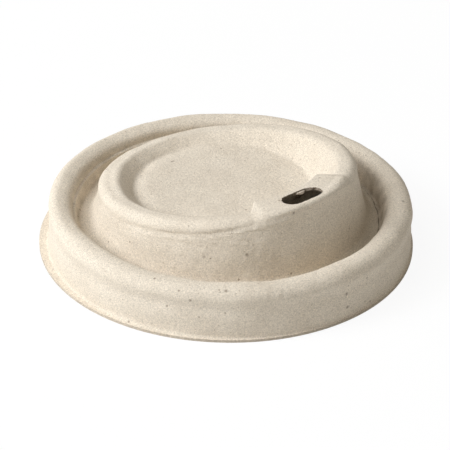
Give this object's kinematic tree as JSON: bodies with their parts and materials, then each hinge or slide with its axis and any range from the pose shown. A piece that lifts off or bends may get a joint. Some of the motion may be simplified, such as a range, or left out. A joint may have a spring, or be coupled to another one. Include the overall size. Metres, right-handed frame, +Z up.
{
  "type": "bagasse lid",
  "caption": "Round takeaway cup lid of moulded bagasse pulp, with a snap ring over the cup rim, a slanted raised dome with a recess, and a drinking slot in its sip pad.",
  "frame": {"origin": "on the table, in the middle of the trimmed bottom edge", "axes": "+Z up through the dome, -Y towards the drinking slot"},
  "size_m": [0.0942, 0.0942, 0.025],
  "materials": {
    "pulp": "matte, unbleached moulded sugar-cane fibre with fine specks"
  },
  "bodies": {
    "root": {"lid": "pulp"}
  },
  "joints": []
}
